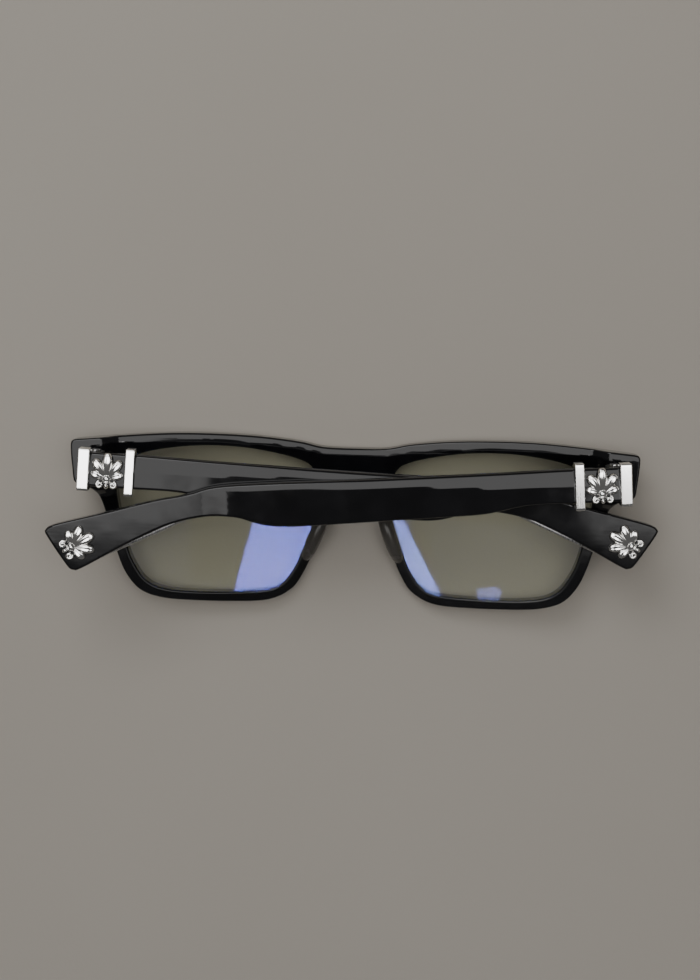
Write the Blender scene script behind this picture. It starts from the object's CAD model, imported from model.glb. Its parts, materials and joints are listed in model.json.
"""Folded black acetate glasses with clear blue-light lenses and polished metal trim."""

import json
import math

import bpy
import numpy as np
from mathutils import Matrix, Vector
from mathutils.geometry import delaunay_2d_cdt

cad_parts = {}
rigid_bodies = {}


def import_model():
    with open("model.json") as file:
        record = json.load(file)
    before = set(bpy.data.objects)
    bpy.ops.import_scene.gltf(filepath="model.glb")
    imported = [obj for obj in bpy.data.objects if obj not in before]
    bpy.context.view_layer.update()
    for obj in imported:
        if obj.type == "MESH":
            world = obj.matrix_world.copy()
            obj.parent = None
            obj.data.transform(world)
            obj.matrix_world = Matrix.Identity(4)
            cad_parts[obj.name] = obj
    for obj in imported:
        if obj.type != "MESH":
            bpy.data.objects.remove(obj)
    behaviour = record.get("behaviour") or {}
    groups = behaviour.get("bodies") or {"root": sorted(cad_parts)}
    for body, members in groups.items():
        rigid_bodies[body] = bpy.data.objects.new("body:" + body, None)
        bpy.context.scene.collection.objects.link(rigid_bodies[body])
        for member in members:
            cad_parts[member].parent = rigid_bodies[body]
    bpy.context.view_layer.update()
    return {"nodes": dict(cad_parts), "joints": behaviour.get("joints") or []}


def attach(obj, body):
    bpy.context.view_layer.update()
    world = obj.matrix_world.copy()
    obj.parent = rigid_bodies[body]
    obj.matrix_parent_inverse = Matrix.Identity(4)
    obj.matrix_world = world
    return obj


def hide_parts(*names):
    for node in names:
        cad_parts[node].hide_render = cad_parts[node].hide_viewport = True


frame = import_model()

MM = 0.001
SIDES = {"left": -1, "right": 1}

# ---- Sizes, in millimetres and degrees; design frame: brow line at y = 0, lowest point at z = 0 ----

RIM_THICK = 4.3
FRONT_RADIUS = 300.0
END_BACK = 12.93
LENS_RADIUS = 200.0
LENS_THICK = 2.0
LENS_PROUD = 0.1
GROOVE_DEPTH = 0.6
LENS_MIDDLE = (34.2, -20.0)

# Right half of the front's outline and right lens opening, then a temple's top and lower edge
HALF_FRONT = [(0, -1.2), (8, -1), (14, 0.2), (24, 1.3), (35, 1.8), (46, 1.8), (58, 1.1), (67, 0.35),
              (69.25, 0.1), (69.95, -0.35), (70.15, -1.2), (70.05, -4), (69.7, -7.5), (69.4, -9.9),
              (68.75, -10.75), (67.2, -11.3), (64.6, -12.4), (62.9, -15), (61.4, -19.5), (58.9, -28.5),
              (56.6, -34), (53.2, -38), (48.5, -39.9), (42, -40.7), (30, -40.98), (21, -40.4),
              (15.4, -37.6), (12.4, -33.4), (10, -27.8), (7.9, -21), (6.2, -15.5), (3.6, -11.8),
              (0, -10.6)]
HALF_OPENING = [(10.6, -6.6), (14.5, -4.2), (23.4, -2.2), (32, -1.3), (41, -1.4), (51, -2.8),
                (56.4, -5.2), (58.9, -9.6), (58.9, -14.5), (56.5, -26.5), (54.1, -32.3), (51.2, -35.9),
                (46.5, -37.8), (37, -38.5), (23.5, -38.1), (18.4, -36.6), (15, -32.6), (12.4, -26.6),
                (9.9, -20), (9, -12.5)]
TEMPLE_TOP = [(-3.3, -2.3), (-2.6, -1.92), (2, -1.9), (12, -1.8), (30, -1.9), (60, -1.8), (80, -1.55),
              (92, -1.55), (98, -1.95), (102.5, -3.05), (106, -3.65), (110.5, -4.2), (116, -5.2),
              (123, -6.6), (132.5, -8.3), (136.5, -9.15), (138.05, -10.05)]
TEMPLE_FOOT = [(137.9, -11.7), (133.7, -19.0), (132.2, -20.3), (130, -19.95), (119.5, -15),
               (110.5, -11.2), (106, -9.9), (102, -9.2), (98, -8.9), (94, -9.2), (91, -9.8),
               (87.5, -11.1), (84.5, -11.9), (81, -12.3), (75, -12.4), (60, -12.2), (44, -11.95),
               (34, -11.75), (29, -11.2), (24, -10.3), (19, -9.95), (10, -10.1), (2, -10.12),
               (-2.6, -10.1), (-3.3, -9.7)]

# Front's back face: a bevel along the brow, a slope down towards the openings, and the stretches
# over which it rises to the end pieces
BROW_EDGE = HALF_FRONT[:9]
BROW_BEVEL = 1.4
BROW_SLOPE = 9
RIM_SLOPE = 4
RIM_FALL = 3.2
END_RISE_X = (58.5, 63.2)
END_RISE_Y = (-14.5, -11.5)

# Nose pad: points along its middle from the top to the foot, radii, how full its ends are, and how
# deep it is for its width
PAD_PATH = [(6.6, -15.3, 3.6), (7.5, -17.6, 5.1), (8.4, -20.5, 6.2), (9.6, -24, 6.2),
            (11, -27.4, 5.2), (12.2, -30.2, 3.6)]
PAD_RADIUS = 1.75
PAD_END_RADIUS = 0.05
PAD_FULLNESS = 3.2
PAD_DEPTH = 1.15

# Temple: faces, the ear part's thinner stretch, its tilt when folded, the hinge's middle, and a bevel
# that is widest at the hinge
OUTER = 5.5
INNER = 2.3
EAR_THIN = 0.3
EAR_STEP = (94.0, 100.0)
FOLD_TILT = 1.6
HINGE_MIDDLE = -6.05
TEMPLE_SLOPE = 13
TEMPLE_BEVEL = 1.7
TEMPLE_BEVEL_MORE = 2.3
BEVEL_WIDENS = (62, 12)
BEVEL_FADES = (86, 100)

# Clasp bars: span along the temple and height; then their shared section
BAR_HINGE = {"span": (-3.2, -0.35), "height": 10.4}
BAR_TEMPLE = {"span": (8.2, 10.5), "height": 11.5}
BAR_TOP = 6.6
BAR_FOOT = 2.8
BAR_CORNER = 0.55
BAR_INSET = 0.05
BAR_UNDER = 0.1

# Ornament: lobes from the middle outwards, scrolls, and beads by centre and radii
ORNAMENT_HEIGHT = 8.9
BOSS_Y = 2.6
LOBE_LENGTHS = [share * ORNAMENT_HEIGHT for share in (0.7, 0.63, 0.46)]
LOBE_WIDTHS = [1.3, 1.25, 1.1]
LOBE_HEIGHTS = [1.15, 1.07, 0.99]
LOBE_TURN = 36
LOBE_POWER = 1.7
LOBE_ROUND = 0.4
LOBE_RIM = 0.15
LOBE_HOLLOW = 0.2
LOBE_HOLLOW_WIDTH = 0.4
LOBE_ROOT = -0.12
SCROLL_CENTRE = (1.6, 1.16)
SCROLL_REACH = (0.8, 0.22)
SCROLL_WIRE = (0.36, 0.28)
SCROLL_RISE = (0.45, 0.65)
SCROLL_START = 80
SCROLL_TURN = 470
BEADS = [((0, BOSS_Y, 0.15), (1.25, 0.95, 1.0)), ((0, 0.85, 0.2), (0.55, 0.8, 0.75)),
         ((0, 1.75, 0.2), (1.3, 0.3, 0.8))]
RECESS_DEPTH = (0.45, -0.05)
RECESS_DARK = 0.75
ORNAMENT_PLACE = (3.9, HINGE_MIDDLE, OUTER)
TIP_PLACE = (130.4, -13.75, OUTER - EAR_THIN)
TIP_TURN = 64.0

# Edges: radii of the rounded ones, and a bevel's soft border
FRONT_FILLET = 0.5
TEMPLE_FILLET = 0.62
LENS_FILLET = 0.3
BAR_FILLET = 0.3
BEVEL_SOFT = 0.12

# Distances between the points of an outline
OUTLINE_STEP = 0.55
LENS_STEP = 0.7
BAR_STEP = 0.2

# The hinge axes come from the frame's joints; their middles place the design frame in the model
joints = {j["child"].split("_")[1]: j for j in frame["joints"]}
hinge_mid = (Vector(joints["left"]["pos_m"]) + Vector(joints["right"]["pos_m"])) / (2 * MM)
ORIGIN = Vector((-hinge_mid.x, HINGE_MIDDLE - hinge_mid.y, 0.0))
HINGE_X = (joints["right"]["pos_m"][0] - joints["left"]["pos_m"][0]) / (2 * MM)
HINGE_Z = hinge_mid.z


# ---- Shape helpers ----

def smooth_loop(points, steps=8):
    """Closed smooth curve through points, as an array."""
    p = np.array(points, float)
    u = (np.arange(steps) / steps)[None, :, None]
    a, b, c, d = (np.roll(p, k, axis=0)[:, None, :] for k in (1, 0, -1, -2))
    curve = 0.5 * (2 * b + (c - a) * u + (2 * a - 5 * b + 4 * c - d) * u ** 2
                   + (3 * b - a - 3 * c + d) * u ** 3)
    return curve.reshape(-1, 2)


def resampled(loop, step):
    """The same closed loop with points an even distance apart."""
    closed = np.vstack([loop, loop[:1]])
    along = np.concatenate([[0], np.cumsum(np.linalg.norm(np.diff(closed, axis=0), axis=1))])
    count = int(round(along[-1] / step))
    at = np.linspace(0, along[-1], count, endpoint=False)
    return np.column_stack([np.interp(at, along, closed[:, k]) for k in (0, 1)])


def mirrored(points):
    """Both halves of an outline whose first and last points lie on the middle."""
    return list(points) + [(-x, y) for x, y in points[-2:0:-1]]


def loop_normals(loop):
    """Unit normals on the left of travel, which is outwards on a clockwise loop."""
    way = np.roll(loop, -1, axis=0) - np.roll(loop, 1, axis=0)
    normal = np.column_stack([-way[:, 1], way[:, 0]])
    return normal / np.linalg.norm(normal, axis=1)[:, None]


def rounded_corners(points, radius, steps=5, most=0.45):
    """Polygon with each corner replaced by an arc, which takes at most this share of an edge."""
    out = []
    count = len(points)
    for i, corner in enumerate(points):
        corner = Vector(corner)
        back = Vector(points[i - 1]) - corner
        ahead = Vector(points[(i + 1) % count]) - corner
        cut = min(radius, most * back.length, most * ahead.length)
        start, end = corner + back.normalized() * cut, corner + ahead.normalized() * cut
        for k in range(steps + 1):
            u = k / steps
            out.append(start.lerp(corner, u).lerp(corner.lerp(end, u), u)[:])
    return np.array(out)


def inside(points, loop):
    """True for each point inside a closed loop."""
    x, y = points[:, 0][:, None], points[:, 1][:, None]
    ax, ay = loop[:, 0][None], loop[:, 1][None]
    bx, by = np.roll(loop[:, 0], -1)[None], np.roll(loop[:, 1], -1)[None]
    crosses = (ay > y) != (by > y)
    rise = np.where(by == ay, 1e-12, by - ay)
    return (crosses & (x < (bx - ax) * (y - ay) / rise + ax)).sum(axis=1) % 2 == 1


def edge_height(points, s):
    """Height of an edge line at distances s along it."""
    p = sorted(points)
    return np.interp(s, [q[0] for q in p], [q[1] for q in p])


def smoothstep(low, high, value):
    """Smooth rise from 0 at low to 1 at high; low may be the larger of the two."""
    u = np.clip((np.asarray(value, float) - low) / (high - low), 0, 1)
    return u * u * (3 - 2 * u)


def surface_normals(height, xy):
    """Upward unit normals of a height field."""
    h = 0.01
    dx = (height(xy + [h, 0]) - height(xy - [h, 0])) / (2 * h)
    dy = (height(xy + [0, h]) - height(xy - [0, h])) / (2 * h)
    n = np.column_stack([-dx, -dy, np.ones(len(xy))])
    return n / np.linalg.norm(n, axis=1)[:, None]


def cap_triangles(rings, spacing, row=0.866, clear=0.6):
    """Flat points and triangles that fill the first ring outside the other rings.

    Inner points lie in rows row * spacing apart, and clear * spacing or more off the border.
    """
    border = np.vstack(rings)
    edges, start = [], 0
    for ring in rings:
        n = len(ring)
        edges += [(start + i, start + (i + 1) % n) for i in range(n)]
        start += n
    low, high = rings[0].min(axis=0), rings[0].max(axis=0)
    gx = np.arange(low[0], high[0], spacing)
    gy = np.arange(low[1], high[1], spacing * row)
    grid = np.array([(x + (0.5 * spacing if j % 2 else 0), y) for j, y in enumerate(gy) for x in gx])
    keep = inside(grid, rings[0])
    for ring in rings[1:]:
        keep &= ~inside(grid, ring)
    grid = grid[keep]
    inner = [np.min(np.hypot(*(border - g).T)) > clear * spacing for g in grid]
    points = np.vstack([border, grid[np.array(inner, bool)]]) if len(grid) else border
    out = delaunay_2d_cdt([Vector(p) for p in points], edges, [], 0, 1e-7, True)
    source = [ids[0] if ids else -1 for ids in out[3]]
    faces = np.array([[source[i] for i in f] for f in out[2] if len(f) == 3])
    middle = points[faces].mean(axis=1)
    keep = inside(middle, rings[0]) & (faces.min(axis=1) >= 0)
    for ring in rings[1:]:
        keep &= ~inside(middle, ring)
    return points, faces[keep]


def make_mesh(name, verts, faces, normals=None, place=None):
    """Mesh object in metres from millimetre points in a local frame."""
    place = place or Matrix.Identity(4)
    m = np.array(place)
    verts = np.asarray(verts, float) @ m[:3, :3].T + m[:3, 3] - np.array(ORIGIN)
    if np.linalg.det(m[:3, :3]) < 0:
        faces = [tuple(reversed(f)) for f in faces]
    mesh = bpy.data.meshes.new(name)
    mesh.from_pydata([tuple(v * MM) for v in verts], [], [tuple(int(i) for i in f) for f in faces])
    mesh.polygons.foreach_set("use_smooth", [True] * len(mesh.polygons))
    mesh.update()
    if normals is not None:
        turned = np.asarray(normals, float) @ m[:3, :3].T
        turned /= np.linalg.norm(turned, axis=1)[:, None]
        mesh.normals_split_custom_set_from_vertices([tuple(n) for n in turned])
    obj = bpy.data.objects.new(name, mesh)
    bpy.context.scene.collection.objects.link(obj)
    return obj


def slab(name, outline, holes, top, bottom, radius, spacing, place=None, steps=5):
    """Solid between two height fields, with quarter-round edges and exact shading normals."""
    loops = [(outline, 1.0)] + [(hole, -1.0) for hole in holes]
    turn = np.linspace(0, math.pi / 2, steps + 1)
    stations = [(a, 1) for a in turn] + [(a, -1) for a in turn[::-1]]
    verts, normals, faces = [], [], []
    first_rings, ring_starts = [], []
    for loop, sign in loops:
        out = loop_normals(loop) * sign
        n = len(loop)
        starts = []
        for angle, level in stations:
            xy = loop - out * radius * (1 - math.sin(angle))
            field = top if level > 0 else bottom
            z = field(xy) - level * radius * (1 - math.cos(angle))
            normal = surface_normals(field, xy) * level * math.cos(angle)
            normal[:, :2] += out * math.sin(angle)
            starts.append(len(verts))
            verts += np.column_stack([xy, z]).tolist()
            normals += (normal / np.linalg.norm(normal, axis=1)[:, None]).tolist()
        for a, b in zip(starts, starts[1:]):
            for i in range(n):
                j = (i + 1) % n
                quad = (a + i, a + j, b + j, b + i)
                faces.append(quad if sign > 0 else quad[::-1])
        first_rings.append(loop - out * radius)
        ring_starts.append((starts[0], starts[-1], n))
    for level, field, pick in ((1, top, 0), (-1, bottom, 1)):
        points, triangles = cap_triangles(first_rings, spacing)
        index, base = [], 0
        for starts in ring_starts:
            index += list(range(starts[pick], starts[pick] + starts[2]))
            base += starts[2]
        extra = points[base:]
        index += list(range(len(verts), len(verts) + len(extra)))
        if len(extra):
            verts += np.column_stack([extra, field(extra)]).tolist()
            normals += (surface_normals(field, extra) * level).tolist()
        for a, b, c in triangles:
            pa, pb, pc = points[a], points[b], points[c]
            turn_left = (pb[0] - pa[0]) * (pc[1] - pa[1]) - (pb[1] - pa[1]) * (pc[0] - pa[0]) > 0
            face = (index[a], index[b], index[c])
            faces.append(face if turn_left == (level > 0) else face[::-1])
    return make_mesh(name, verts, faces, normals, place)


def loft(rings):
    """Vertices and faces of a tube, closed at both ends, through rings with equal point counts."""
    n = len(rings[0])
    verts = [tuple(p) for ring in rings for p in ring]
    faces = []
    for k in range(len(rings) - 1):
        for i in range(n):
            j = (i + 1) % n
            faces.append((k * n + i, k * n + j, (k + 1) * n + j, (k + 1) * n + i))
    for k, flip in ((0, True), (len(rings) - 1, False)):
        middle = len(verts)
        verts.append(tuple(np.mean(rings[k], axis=0)))
        for i in range(n):
            face = (k * n + i, k * n + (i + 1) % n, middle)
            faces.append(face[::-1] if flip else face)
    return verts, faces


def tube(path, radii, sides, depth=1.0):
    """Rings round a path, each of them depth times as deep as it is wide."""
    path = np.asarray(path, float)
    rings = []
    for k, point in enumerate(path):
        way = path[min(k + 1, len(path) - 1)] - path[max(k - 1, 0)]
        way /= np.linalg.norm(way)
        side = np.cross(way, [0, 0, 1.0])
        side /= np.linalg.norm(side)
        up = np.cross(side, way)
        angles = np.arange(sides) * 2 * math.pi / sides
        rings.append([point + radii[k] * (math.cos(a) * side + depth * math.sin(a) * up)
                      for a in angles])
    return rings


def join_parts(parts):
    """One vertex and face list out of several."""
    verts, faces = [], []
    for part_verts, part_faces in parts:
        base = len(verts)
        verts += list(part_verts)
        faces += [tuple(base + i for i in f) for f in part_faces]
    return verts, faces


def temple_matrix(side):
    """Temple frame to design frame: X along the temple, Y up its face, Z outwards."""
    axis = joints[side]["axis"]
    droop = math.atan2(-axis[0], abs(axis[1]))
    sign = SIDES[side]
    flip = Matrix.Scale(-1, 4, (1, 0, 0))
    m = Matrix.Translation((HINGE_X, HINGE_MIDDLE, HINGE_Z)) @ Matrix.Rotation(droop, 4, "Z")
    m = m @ Matrix.Rotation(math.radians(sign * FOLD_TILT), 4, "Y")
    m = m @ Matrix.Translation((0, -HINGE_MIDDLE, 0)) @ flip
    return m if sign > 0 else flip @ m


# ---- Materials: colours as stops of noise, in linear light; noise scales in features per metre and
# bump distances in metres ----

ACETATE_TONES = [(0.35, (0.004, 0.004, 0.005)), (0.7, (0.009, 0.009, 0.011))]
PAD_TONES = [(0.35, (0.085, 0.078, 0.07)), (0.7, (0.11, 0.102, 0.092))]
SILVER_TONES = [(0.3, (0.95, 0.94, 0.92)), (0.62, (0.66, 0.64, 0.6)), (0.95, (0.07, 0.065, 0.06))]
STEEL_TONES = [(0.3, (0.5, 0.5, 0.51)), (0.75, (0.72, 0.71, 0.7))]
COATING_TONES = [(0.0, (0.024, 0.032, 0.096)), (1.0, (0.9, 0.92, 1.0))]
COATING_SHARE = (0.04, 0.5)
COATING_POWER = 5
LENS_TONES = [(0.3, (0.98, 0.99, 0.948)), (0.7, (0.968, 0.978, 0.932))]
FLOOR_TONES = [(0.3, (0.585, 0.54, 0.475)), (0.7, (0.615, 0.57, 0.505))]
ACETATE_IOR = 1.49


def new_material(name):
    """A material with its nodes, links and Principled shader."""
    material = bpy.data.materials.new(name)
    material.use_nodes = True
    tree = material.node_tree
    return material, tree.nodes, tree.links, tree.nodes["Principled BSDF"]


def noise(nodes, links, scale, detail, stretch=(1, 1, 1)):
    """Noise on object coordinates, in features per metre."""
    coords = nodes.new("ShaderNodeTexCoord")
    mapping = nodes.new("ShaderNodeMapping")
    mapping.inputs["Scale"].default_value = stretch
    texture = nodes.new("ShaderNodeTexNoise")
    texture.inputs["Scale"].default_value = scale
    texture.inputs["Detail"].default_value = detail
    links.new(coords.outputs["Object"], mapping.inputs["Vector"])
    links.new(mapping.outputs["Vector"], texture.inputs["Vector"])
    return texture.outputs["Fac"]


def ramp(nodes, links, value, low, high, to_low, to_high):
    """Value mapped from one range to another, held at the ends."""
    node = nodes.new("ShaderNodeMapRange")
    numbers = {"From Min": low, "From Max": high, "To Min": to_low, "To Max": to_high}
    for name, number in numbers.items():
        node.inputs[name].default_value = number
    links.new(value, node.inputs["Value"])
    return node.outputs["Result"]


def colour_ramp(nodes, links, value, stops):
    """Colour ramp of a value, from (position, colour) stops."""
    node = nodes.new("ShaderNodeValToRGB")
    elements = node.color_ramp.elements
    while len(elements) < len(stops):
        elements.new(0.5)
    for element, (place, colour) in zip(elements, stops):
        element.position = place
        element.color = (*colour, 1)
    links.new(value, node.inputs["Fac"])
    return node.outputs["Color"]


def bump(nodes, links, height, distance, strength, normal=None):
    """Bump of a height, on top of another normal if there is one."""
    node = nodes.new("ShaderNodeBump")
    node.inputs["Distance"].default_value = distance
    node.inputs["Strength"].default_value = strength
    links.new(height, node.inputs["Height"])
    if normal is not None:
        links.new(normal, node.inputs["Normal"])
    return node.outputs["Normal"]


def acetate_material(name, tones, rough):
    """Polished acetate: faint waviness from hand polishing, soft smudges and hairline scratches."""
    material, nodes, links, shader = new_material(name)
    mottle = noise(nodes, links, scale=90, detail=4)
    links.new(colour_ramp(nodes, links, mottle, tones), shader.inputs["Base Color"])
    smudge = noise(nodes, links, scale=140, detail=5)
    links.new(ramp(nodes, links, smudge, 0.4, 0.75, rough, rough + 0.09), shader.inputs["Roughness"])
    swell = noise(nodes, links, scale=120, detail=1)
    wave = bump(nodes, links, swell, distance=0.00012, strength=0.35)
    hair = noise(nodes, links, scale=900, detail=2, stretch=(0.12, 1, 1))
    scratched = bump(nodes, links, hair, distance=0.000012, strength=0.25, normal=wave)
    links.new(scratched, shader.inputs["Normal"])
    shader.inputs["IOR"].default_value = ACETATE_IOR
    shader.inputs["Coat Weight"].default_value = 0.35
    shader.inputs["Coat Roughness"].default_value = 0.03
    return material


def silver_material(name):
    """Polished silver with dark oxide in the recesses and fine wear lines."""
    material, nodes, links, shader = new_material(name)
    recess = nodes.new("ShaderNodeAttribute")
    recess.attribute_name = "recess"
    stain = nodes.new("ShaderNodeMath")
    stain.operation = "MULTIPLY_ADD"
    links.new(noise(nodes, links, scale=1800, detail=4), stain.inputs[0])
    stain.inputs[1].default_value = 0.5
    links.new(recess.outputs["Fac"], stain.inputs[2])
    links.new(colour_ramp(nodes, links, stain.outputs[0], SILVER_TONES), shader.inputs["Base Color"])
    links.new(ramp(nodes, links, stain.outputs[0], 0.3, 1.0, 0.1, 0.4), shader.inputs["Roughness"])
    shader.inputs["Metallic"].default_value = 1.0
    lines = noise(nodes, links, scale=2600, detail=3, stretch=(1, 0.2, 1))
    worn = bump(nodes, links, lines, distance=0.00001, strength=0.35)
    links.new(worn, shader.inputs["Normal"])
    return material


def steel_material(name, stretch, rough):
    """Turned or brushed steel, with its grain along one axis."""
    material, nodes, links, shader = new_material(name)
    grain = noise(nodes, links, scale=4200, detail=3, stretch=stretch)
    links.new(colour_ramp(nodes, links, grain, STEEL_TONES), shader.inputs["Base Color"])
    links.new(ramp(nodes, links, grain, 0.3, 0.7, rough, rough + 0.14), shader.inputs["Roughness"])
    brushed = bump(nodes, links, grain, distance=0.000012, strength=0.4)
    links.new(brushed, shader.inputs["Normal"])
    shader.inputs["Metallic"].default_value = 1.0
    return material


def lens_material(name):
    """Clear lens: a slight warm tint through it, and a coating that mirrors blue-violet head on
    and more, and whiter, at a grazing angle."""
    material, nodes, links, shader = new_material(name)
    nodes.remove(shader)
    facing = nodes.new("ShaderNodeLayerWeight")
    facing.inputs["Blend"].default_value = 0.5
    grazing = nodes.new("ShaderNodeMath")
    grazing.operation = "POWER"
    links.new(facing.outputs["Facing"], grazing.inputs[0])
    grazing.inputs[1].default_value = COATING_POWER
    gloss = nodes.new("ShaderNodeBsdfGlossy")
    links.new(colour_ramp(nodes, links, grazing.outputs[0], COATING_TONES), gloss.inputs["Color"])
    smudge = noise(nodes, links, scale=120, detail=5)
    links.new(ramp(nodes, links, smudge, 0.45, 0.8, 0.01, 0.05), gloss.inputs["Roughness"])
    clear = nodes.new("ShaderNodeBsdfTransparent")
    haze = noise(nodes, links, scale=60, detail=3)
    links.new(colour_ramp(nodes, links, haze, LENS_TONES), clear.inputs["Color"])
    mix = nodes.new("ShaderNodeMixShader")
    links.new(ramp(nodes, links, grazing.outputs[0], 0, 1, *COATING_SHARE), mix.inputs["Fac"])
    links.new(clear.outputs["BSDF"], mix.inputs[1])
    links.new(gloss.outputs["BSDF"], mix.inputs[2])
    links.new(mix.outputs["Shader"], nodes["Material Output"].inputs["Surface"])
    return material


def floor_material():
    """Matt paper, slightly uneven in tone."""
    material, nodes, links, shader = new_material("floor_paper")
    tone = noise(nodes, links, scale=5, detail=4)
    links.new(colour_ramp(nodes, links, tone, FLOOR_TONES), shader.inputs["Base Color"])
    shader.inputs["Roughness"].default_value = 0.85
    fibres = noise(nodes, links, scale=900, detail=3)
    links.new(bump(nodes, links, fibres, distance=0.0002, strength=0.15), shader.inputs["Normal"])
    return material


ACETATE = acetate_material("black_acetate", ACETATE_TONES, rough=0.05)
PAD = acetate_material("pad_acetate", PAD_TONES, rough=0.22)
SILVER = silver_material("trim_silver")
HINGE_STEEL = steel_material("hinge_steel", stretch=(1, 0.15, 1), rough=0.22)
SCREW_STEEL = steel_material("screw_steel", stretch=(0.3, 1, 0.3), rough=0.14)
LENS = lens_material("coated_lens")


def dress(obj, material, body, node):
    """Gives a new piece its material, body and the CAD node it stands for."""
    obj.data.materials.clear()
    obj.data.materials.append(material)
    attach(obj, body)
    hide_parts(node)


def set_recess(obj, values):
    """How far each point lies in a recess, from 0 to 1, for the silver's oxide."""
    layer = obj.data.attributes.new("recess", "FLOAT", "POINT")
    layer.data.foreach_set("value", np.clip(values, 0, 1).astype(np.float32))


# ---- Front ----

def front_outer(xy):
    """Outer face of the front, a cylinder across its width."""
    return FRONT_RADIUS - np.sqrt(FRONT_RADIUS ** 2 - xy[:, 0] ** 2)


def bevel_drop(over, degrees):
    """Drop of a bevel, from the distance past its inner border, with a soft border."""
    return math.tan(math.radians(degrees)) * 0.5 * (over + np.sqrt(over ** 2 + BEVEL_SOFT ** 2))


def front_back(xy):
    """Back face: beside the outer one, with its bevel and slope, rising to a flat on each end piece."""
    x, y = np.abs(xy[:, 0]), xy[:, 1]
    plain = front_outer(xy) + RIM_THICK
    lift = smoothstep(*END_RISE_X, x) * smoothstep(*END_RISE_Y, y)
    over = BROW_BEVEL - (edge_height(BROW_EDGE, x) - y)
    inner_fall = math.tan(math.radians(RIM_SLOPE)) * RIM_FALL * smoothstep(0, -RIM_FALL, over)
    return plain + (END_BACK - plain) * lift - bevel_drop(over, BROW_SLOPE) - inner_fall * (1 - lift)


def build_front():
    """Front with its two lens openings."""
    outline = resampled(smooth_loop(mirrored(HALF_FRONT)), OUTLINE_STEP)
    opening = resampled(smooth_loop(HALF_OPENING), OUTLINE_STEP)
    other = opening[::-1] * [-1, 1]
    front = slab("front", outline, [opening, other], front_back, front_outer, FRONT_FILLET,
                 spacing=0.9)
    dress(front, ACETATE, "front", "front_frame")


def build_lens(side):
    """Lens between two spherical faces, its edge in the rim's groove."""
    sign = SIDES[side]
    middle = np.array([sign * LENS_MIDDLE[0], LENS_MIDDLE[1]])
    lean = math.asin(LENS_MIDDLE[0] / FRONT_RADIUS)
    outer_z = FRONT_RADIUS - math.sqrt(FRONT_RADIUS ** 2 - LENS_MIDDLE[0] ** 2)
    outer_z += (RIM_THICK - LENS_THICK) / 2 - LENS_PROUD
    centre = np.array([middle[0] - sign * LENS_RADIUS * math.sin(lean), middle[1],
                       outer_z + LENS_RADIUS * math.cos(lean)])

    def face(radius):
        def height(xy):
            across = ((xy - centre[:2]) ** 2).sum(axis=1)
            return centre[2] - np.sqrt(radius ** 2 - across)
        return height

    opening = resampled(smooth_loop(HALF_OPENING), LENS_STEP)
    opening = opening + loop_normals(opening) * GROOVE_DEPTH
    if sign < 0:
        opening = opening[::-1] * [-1, 1]
    lens = slab(f"lens_glass_{side}", opening, [], face(LENS_RADIUS - LENS_THICK), face(LENS_RADIUS),
                LENS_FILLET, spacing=1.6, steps=3)
    dress(lens, LENS, "front", f"lens_{side}")


def build_pad(side):
    """Nose pad: a smooth bean that grows out of the rim's back inner edge."""
    sign = SIDES[side]
    u = np.linspace(0, 1, 25)
    place = np.linspace(0, 1, len(PAD_PATH))
    path = np.column_stack([np.interp(u, place, along) for along in zip(*PAD_PATH)])
    for _ in range(6):
        path[1:-1] = (path[:-2] + 2 * path[1:-1] + path[2:]) / 4
    full = np.sqrt(1 - np.abs(2 * u - 1) ** PAD_FULLNESS)
    path[:, 0] *= sign
    verts, faces = loft(tube(path, PAD_RADIUS * full + PAD_END_RADIUS, sides=20, depth=PAD_DEPTH))
    pad = make_mesh(f"pad_{side}", verts, faces)
    dress(pad, PAD, "front", f"nose_pad_{side}")


# ---- Temples ----

def temple_outer(xy):
    """Outer face of a temple: flat, with a bevel along its top edge and a thinner ear part."""
    s, t = xy[:, 0], xy[:, 1]
    depth = edge_height(TEMPLE_TOP, s) - t
    width = TEMPLE_BEVEL + TEMPLE_BEVEL_MORE * smoothstep(*BEVEL_WIDENS, s)
    drop = bevel_drop(width - depth, TEMPLE_SLOPE)
    fade = 1 - smoothstep(*BEVEL_FADES, s)
    return OUTER - EAR_THIN * smoothstep(*EAR_STEP, s) - drop * fade


def temple_inner(xy):
    """A temple's flat inner face."""
    return np.full(len(xy), INNER)


def build_temple(side, matrix):
    """One temple, placed by its folding matrix."""
    outline = resampled(smooth_loop(TEMPLE_TOP + TEMPLE_FOOT), OUTLINE_STEP)
    temple = slab(f"arm_{side}", outline, [], temple_outer, temple_inner, TEMPLE_FILLET,
                  spacing=0.95, place=matrix)
    dress(temple, ACETATE, f"temple_{side}", f"temple_{side}")


def build_bar(side, matrix, name, span, height):
    """Clasp bar: a rounded strap over a temple's outer face and both its edges."""
    low, high = HINGE_MIDDLE - height / 2, HINGE_MIDDLE + height / 2
    middle = sum(span) / 2
    core_low = edge_height(TEMPLE_FOOT, middle) + BAR_INSET
    core_high = edge_height(TEMPLE_TOP, middle) - BAR_INSET
    face = OUTER - BAR_UNDER
    corners = [(low, BAR_FOOT), (low, BAR_TOP), (high, BAR_TOP), (high, BAR_FOOT),
               (core_high, BAR_FOOT), (core_high, face), (core_low, face), (core_low, BAR_FOOT)]
    outline = resampled(rounded_corners(corners, BAR_CORNER), BAR_STEP)
    turned = matrix @ Matrix(((0, 0, 1, 0), (1, 0, 0, 0), (0, 1, 0, 0), (0, 0, 0, 1)))
    bar = slab(f"{name}_{side}_strap", outline, [], lambda xy: np.full(len(xy), span[1]),
               lambda xy: np.full(len(xy), span[0]), BAR_FILLET, spacing=0.5, place=turned, steps=4)
    set_recess(bar, np.zeros(len(bar.data.vertices)))
    dress(bar, SILVER, f"temple_{side}", f"{name}_{side}")


# ---- Ornament: a generic shell-shaped palmette, five round lobes over two scrolls ----

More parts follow.
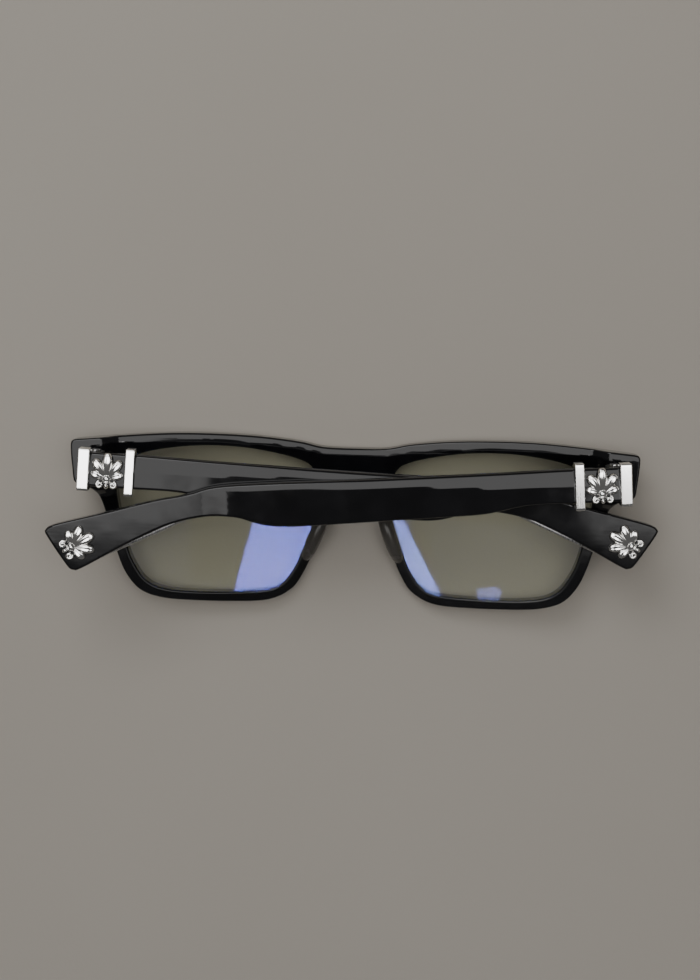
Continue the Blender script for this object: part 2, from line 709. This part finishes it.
def lobe(length, half_width, height, turn):
    """One lobe as a closed shell: slim foot, round end, domed with a sunk middle."""
    rings = []
    for a in np.linspace(0.04, 1, 19):
        u = math.sin(a * math.pi / 2)
        swell = max(1e-4, math.sin(math.pi * u ** LOBE_POWER)) ** LOBE_ROUND
        width = half_width * swell
        rise = height * (LOBE_RIM + (1 - LOBE_RIM) * swell)
        ring = []
        for v in np.linspace(-1, 1, 13):
            dome = math.sqrt(max(0.0, 1 - v * v))
            hollow = LOBE_HOLLOW * swell * math.exp(-(v / LOBE_HOLLOW_WIDTH) ** 2)
            ring.append((v * width, length * u, rise * (dome - hollow)))
        ring += [(v * width, length * u, LOBE_ROOT) for v in np.linspace(1, -1, 5)]
        rings.append(ring)
    verts, faces = loft(rings)
    c, s = math.cos(turn), math.sin(turn)
    return [(c * x - s * y, s * x + c * y + BOSS_Y, z) for x, y, z in verts], faces


def scroll(sign):
    """Spiral scroll at the ornament's foot, its wire thinner and higher towards the middle."""
    turns = np.linspace(0, 1, 34)

    def going(ends):
        return ends[0] + (ends[1] - ends[0]) * turns

    angles = math.radians(SCROLL_START) - turns * math.radians(SCROLL_TURN)
    reach = going(SCROLL_REACH)
    path = np.column_stack([sign * (SCROLL_CENTRE[0] + reach * np.cos(angles)),
                            SCROLL_CENTRE[1] + reach * np.sin(angles), going(SCROLL_RISE)])
    verts, faces = loft(tube(path, going(SCROLL_WIRE), sides=12))
    return verts, faces if sign > 0 else [f[::-1] for f in faces]


def bead(centre, radii, rings=9, sides=18, pole=0.05):
    """Ellipsoid; its end rings stay a small angle off the poles."""
    rows = []
    for a in np.linspace(pole - math.pi / 2, math.pi / 2 - pole, rings):
        rows.append([(centre[0] + radii[0] * math.cos(a) * math.cos(b),
                      centre[1] + radii[1] * math.cos(a) * math.sin(b),
                      centre[2] + radii[2] * math.sin(a))
                     for b in np.arange(sides) * 2 * math.pi / sides])
    return loft(rows)


def ornament_parts():
    """The whole ornament, from its foot at y = 0, on the plane z = 0."""
    parts = []
    for k in (2, -2, 1, -1, 0):
        rank = abs(k)
        parts.append(lobe(LOBE_LENGTHS[rank], LOBE_WIDTHS[rank], LOBE_HEIGHTS[rank],
                          math.radians(LOBE_TURN * k)))
    parts += [scroll(-1), scroll(1)]
    parts += [bead(centre, radii) for centre, radii in BEADS]
    return join_parts(parts)


def build_ornament(side, matrix, name, place, turn):
    """Ornament at a place on a temple's outer face, darker where it meets the acetate."""
    verts, faces = ornament_parts()
    local = Matrix.Translation(place) @ Matrix.Rotation(math.radians(turn), 4, "Z")
    local = matrix @ local @ Matrix.Translation((0, -ORNAMENT_HEIGHT / 2, 0))
    piece = make_mesh(f"palmette_{name}_{side}", verts, faces, place=local)
    z = np.array(verts)[:, 2]
    set_recess(piece, RECESS_DARK * smoothstep(*RECESS_DEPTH, z))
    dress(piece, SILVER, f"temple_{side}", f"ornament_{name}_{side}")


# ---- Carried-over hinge parts: their own shapes, with broken edges and steel ----

CAD_STEEL = ("hinge_front", "hinge_temple", "hinge_rivets_front", "hinge_rivets_temple", "core_wire")
STEEL_EDGE = 0.1
SCREW_EDGE = 0.08
SHARP_ANGLE = 35
WELD_REACH = 1e-6


def dress_cad(node, material, width):
    """Gives a CAD piece its material, joins its points and bevels its sharp edges."""
    obj = frame["nodes"][node]
    obj.data.materials.clear()
    obj.data.materials.append(material)
    weld = obj.modifiers.new("weld", "WELD")
    weld.merge_threshold = WELD_REACH
    bevel = obj.modifiers.new("edges", "BEVEL")
    bevel.width = width * MM
    bevel.segments = 2
    bevel.angle_limit = math.radians(SHARP_ANGLE)


build_front()
for side_name in SIDES:
    build_lens(side_name)
    build_pad(side_name)
    to_design = temple_matrix(side_name)
    build_temple(side_name, to_design)
    build_bar(side_name, to_design, "bar_hinge", **BAR_HINGE)
    build_bar(side_name, to_design, "bar_temple", **BAR_TEMPLE)
    build_ornament(side_name, to_design, "hinge", ORNAMENT_PLACE, 0)
    build_ornament(side_name, to_design, "tip", TIP_PLACE, TIP_TURN)
    for part in CAD_STEEL:
        dress_cad(f"{part}_{side_name}", HINGE_STEEL, STEEL_EDGE)
    dress_cad(f"hinge_screw_{side_name}", SCREW_STEEL, SCREW_EDGE)


# ---- Floor, light and camera, in metres; slopes are a direction's X / Z and Y / Z ----

FLOOR_HALF = 3.0
ROOM_COLOUR = (1.0, 0.99, 0.98, 1)
ROOM_LEVEL = 0.09
CEILING_LEVEL = 1.5
CEILING_EDGE = (0.82, 0.9)
NEAR_WALL = (-0.176, -0.166)
# Dark patch on the ceiling: the middle's slope, and the slopes off it between which it ends
PATCH_X = (0.0675, 0.1125, 0.125)
PATCH_Y = (-0.17, 0.12, 0.15)

KEY_PLACE = Vector((-0.2, 0.45, 0.5))
KEY_SIZE = (0.35, 0.3)
KEY_POWER = 1.0
LAMP_HEIGHT = 1.2
# Lamps over the coated lenses and over the trim: place, size, power, then turn and colour
COATING_LEFT = ((-0.0025, -0.094), (0.15, 0.26), 14.6, -14, (0.72, 0.66, 1))
COATING_RIGHT = ((0.0275, -0.093), (0.12, 0.28), 11.5, 27.6)
COATING_SMALL = ((-0.165, -0.047), (0.05, 0.035), 0.22)
TRIM_LEFT = ((-0.265, 0.09), (0.41, 0.56), 3.0)
TRIM_RIGHT = ((0.36, 0.073), (0.3, 0.4), 1.5)

# Camera: place in the design frame in millimetres, and turns about X, Y and Z in degrees
CAMERA_PLACE = (6.3, 46.4, 413.6)
CAMERA_TURNS = {"X": -8.08, "Y": 1.02, "Z": 1.68}
CAMERA_LENS = 84.4
SENSOR_WIDTH = 36.0


def build_floor():
    """Plain floor under the folded glasses, which isn't a piece of them."""
    mesh = bpy.data.meshes.new("floor")
    corners = [(x * FLOOR_HALF, y * FLOOR_HALF, 0) for x, y in ((-1, -1), (1, -1), (1, 1), (-1, 1))]
    mesh.from_pydata(corners, [], [(0, 1, 2, 3)])
    floor = bpy.data.objects.new("floor", mesh)
    bpy.context.scene.collection.objects.link(floor)
    floor.data.materials.append(floor_material())


def build_world():
    """Dim room with a broad bright ceiling, except towards the near wall and in a dark patch."""
    world = bpy.data.worlds.new("studio")
    bpy.context.scene.world = world
    world.use_nodes = True
    nodes, links = world.node_tree.nodes, world.node_tree.links
    coords = nodes.new("ShaderNodeTexCoord")
    split = nodes.new("ShaderNodeSeparateXYZ")
    links.new(coords.outputs["Generated"], split.inputs[0])

    def math_node(kind, *values):
        node = nodes.new("ShaderNodeMath")
        node.operation = kind
        for socket, value in zip(node.inputs, values):
            if isinstance(value, (int, float)):
                socket.default_value = value
            else:
                links.new(value, socket)
        return node.outputs[0]

    def slope(axis):
        """X or Y over Z, with Z held above 0."""
        return math_node("DIVIDE", split.outputs[axis], math_node("MAXIMUM", split.outputs["Z"], 0.05))

    def patch(slope_socket, centre, inner, outer):
        """1 within inner of the centre, falling to 0 at outer."""
        off = math_node("ABSOLUTE", math_node("SUBTRACT", slope_socket, centre))
        return ramp(nodes, links, off, inner, outer, 1, 0)

    slope_x, slope_y = slope("X"), slope("Y")
    ceiling = ramp(nodes, links, split.outputs["Z"], *CEILING_EDGE, 0, 1)
    near_wall = ramp(nodes, links, slope_y, *NEAR_WALL, 0, 1)
    dark = math_node("MULTIPLY", patch(slope_x, *PATCH_X), patch(slope_y, *PATCH_Y))
    open_sky = math_node("SUBTRACT", 1, dark)
    bright = math_node("MULTIPLY", math_node("MULTIPLY", ceiling, near_wall), open_sky)
    level = math_node("MULTIPLY_ADD", bright, CEILING_LEVEL, ROOM_LEVEL)
    background = nodes["Background"]
    background.inputs["Color"].default_value = ROOM_COLOUR
    links.new(level, background.inputs["Strength"])


def area_light(name, place, size, power, turn):
    """Rectangular lamp."""
    light = bpy.data.lights.new(name, "AREA")
    light.shape = "RECTANGLE"
    light.size, light.size_y = size
    light.energy = power
    obj = bpy.data.objects.new(name, light)
    obj.location = place
    obj.rotation_euler = turn
    bpy.context.scene.collection.objects.link(obj)
    return obj


def linked_lamp(name, receivers, place, size, power, roll=0, colour=(1, 1, 1)):
    """Overhead lamp that only some pieces show in their polish."""
    lamp = area_light(name, (*place, LAMP_HEIGHT), size, power, (0, 0, math.radians(roll)))
    lamp.data.color = colour
    shown = bpy.data.collections.new(f"{name}_receivers")
    for obj in receivers:
        shown.objects.link(obj)
    lamp.light_linking.receiver_collection = shown


def build_lights():
    """Key lamp beyond the brow edge, and the lamps over the coating and the trim."""
    aim = (-KEY_PLACE).to_track_quat("-Z", "Y").to_euler()
    area_light("key", KEY_PLACE, KEY_SIZE, KEY_POWER, aim)
    left_lens, right_lens = ([bpy.data.objects[f"lens_glass_{side}"]] for side in SIDES)
    linked_lamp("coating_left", left_lens, *COATING_LEFT)
    linked_lamp("coating_right", right_lens, *COATING_RIGHT)
    linked_lamp("coating_small", right_lens, *COATING_SMALL)
    trim = [obj for obj in bpy.data.objects if obj.name.startswith(("bar_", "palmette_"))
            and obj.type == "MESH" and SILVER.name in obj.data.materials]
    linked_lamp("trim_left", trim, *TRIM_LEFT)
    linked_lamp("trim_right", trim, *TRIM_RIGHT)


def build_camera():
    """Camera above the glasses, turned by a few degrees."""
    camera = bpy.data.objects.new("camera", bpy.data.cameras.new("camera"))
    bpy.context.scene.collection.objects.link(camera)
    camera.data.sensor_fit = "HORIZONTAL"
    camera.data.sensor_width = SENSOR_WIDTH
    camera.data.lens = CAMERA_LENS
    camera.data.clip_start = 0.01
    turn = Matrix.Identity(4)
    for axis, degrees in CAMERA_TURNS.items():
        turn = turn @ Matrix.Rotation(math.radians(degrees), 4, axis)
    camera.matrix_world = Matrix.Translation((Vector(CAMERA_PLACE) - ORIGIN) * MM) @ turn
    bpy.context.scene.camera = camera


build_floor()
build_world()
build_lights()
build_camera()
